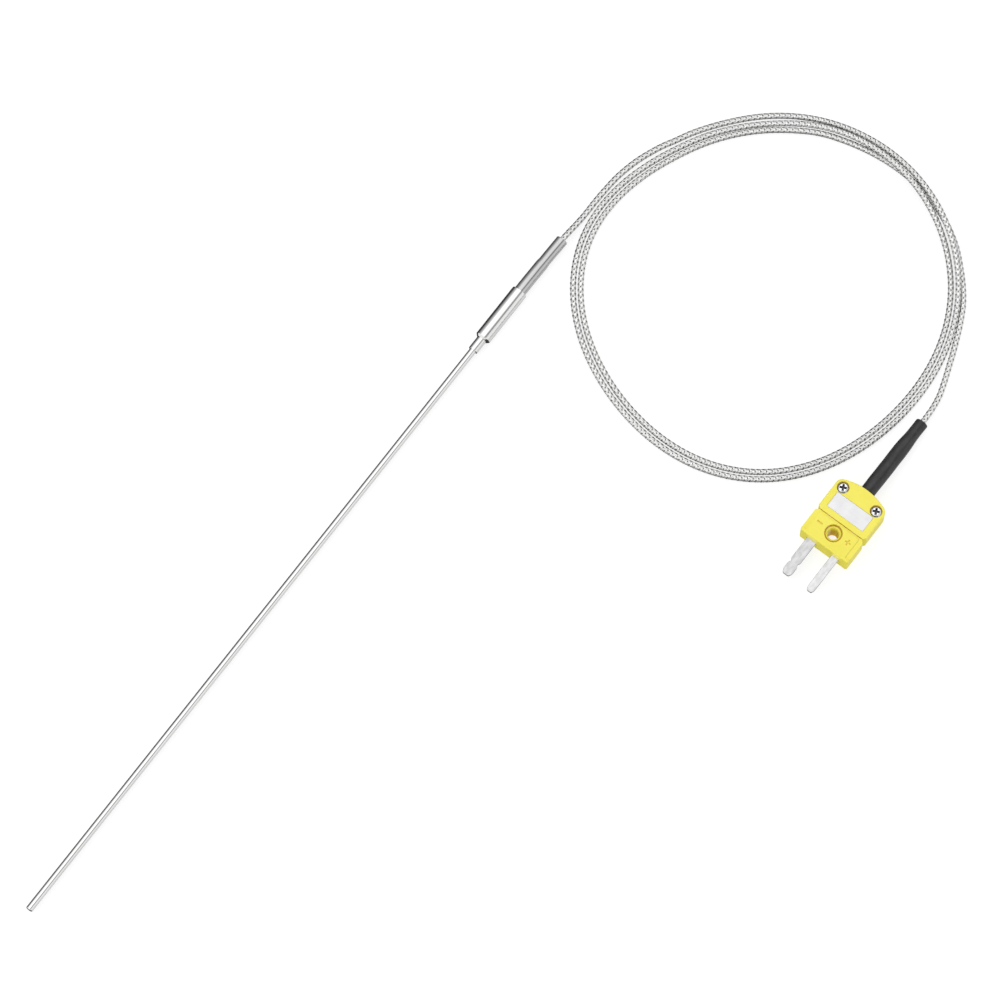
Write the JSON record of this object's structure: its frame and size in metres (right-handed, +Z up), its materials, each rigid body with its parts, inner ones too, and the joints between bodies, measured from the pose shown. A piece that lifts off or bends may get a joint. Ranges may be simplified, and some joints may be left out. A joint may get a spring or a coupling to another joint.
{
  "type": "thermocouple",
  "caption": "Mineral-insulated metal-sheathed temperature probe with a potted transition, a coiled braided lead and a miniature flat-pin plug.",
  "frame": {"origin": "on the floor under the middle of the straight probe, from the sheath's tip to the grey sleeve's end", "axes": "+X runs along the probe from its tip to its pot; +Z is up from the surface everything lies on; the coiled lead and the plug lie on the -Y side, with the plug's pins pointing to -X"},
  "size_m": [0.3119, 0.1202, 0.008],
  "materials": {
    "stainless_steel": "polished",
    "steel_braid": "woven wire, satin",
    "magnesium_oxide": "packed powder",
    "nickel_chromium": "satin",
    "nickel_aluminium": "satin",
    "nickel_crimp": "satin",
    "potting_epoxy": "cast",
    "grey_heatshrink": "satin",
    "black_heatshrink": "matt",
    "yellow_plastic": "moulded, semi-gloss",
    "white_label": "printed-film blank, plain"
  },
  "bodies": {
    "probe_and_plug": {"sheath": "stainless_steel", "insulation_core": "magnesium_oxide", "thermoelement_positive": "nickel_chromium", "thermoelement_negative": "nickel_aluminium", "hot_junction": "nickel_crimp", "neck_collar": "stainless_steel", "transition_pot": "stainless_steel", "potting_compound": "potting_epoxy", "splice_positive": "nickel_crimp", "splice_negative": "nickel_crimp", "lead_core_probe_positive": "nickel_chromium", "lead_core_probe_negative": "nickel_aluminium", "lead_tail_probe": "steel_braid", "strain_sleeve_grey": "grey_heatshrink", "lead_run_probe": "steel_braid", "lead_coil": "steel_braid", "lead_run_plug": "steel_braid", "strain_sleeve_black": "black_heatshrink", "lead_tail_plug": "steel_braid", "plug_base": "yellow_plastic", "blade_negative": "nickel_aluminium", "blade_positive": "nickel_chromium", "clamp_plate_negative": "stainless_steel", "clamp_plate_positive": "stainless_steel", "lead_core_plug_negative": "nickel_aluminium", "lead_core_plug_positive": "nickel_chromium"},
    "cover": {"plug_cover": "yellow_plastic", "label_panel": "white_label"},
    "cover_screw_left": {"cover_screw_left": "stainless_steel"},
    "cover_screw_right": {"cover_screw_right": "stainless_steel"},
    "terminal_screw_negative": {"terminal_screw_negative": "stainless_steel"},
    "terminal_screw_positive": {"terminal_screw_positive": "stainless_steel"}
  },
  "joints": [
    {"name": "cover_lift", "type": "slide", "parent": "probe_and_plug", "child": "cover", "axis": [0, 0, 1], "range_m": [0, 0.012]},
    {"name": "cover_screw_left_turn", "type": "hinge", "parent": "cover", "child": "cover_screw_left", "pos_m": [0.1068, -0.10445, 0.0066], "axis": [0, 0, 1], "continuous": true},
    {"name": "cover_screw_right_turn", "type": "hinge", "parent": "cover", "child": "cover_screw_right", "pos_m": [0.1068, -0.11555, 0.0066], "axis": [0, 0, 1], "continuous": true},
    {"name": "terminal_screw_negative_turn", "type": "hinge", "parent": "probe_and_plug", "child": "terminal_screw_negative", "pos_m": [0.102, -0.10604, 0.0054], "axis": [0, 0, 1], "continuous": true},
    {"name": "terminal_screw_positive_turn", "type": "hinge", "parent": "probe_and_plug", "child": "terminal_screw_positive", "pos_m": [0.102, -0.11396, 0.0054], "axis": [0, 0, 1], "continuous": true}
  ]
}
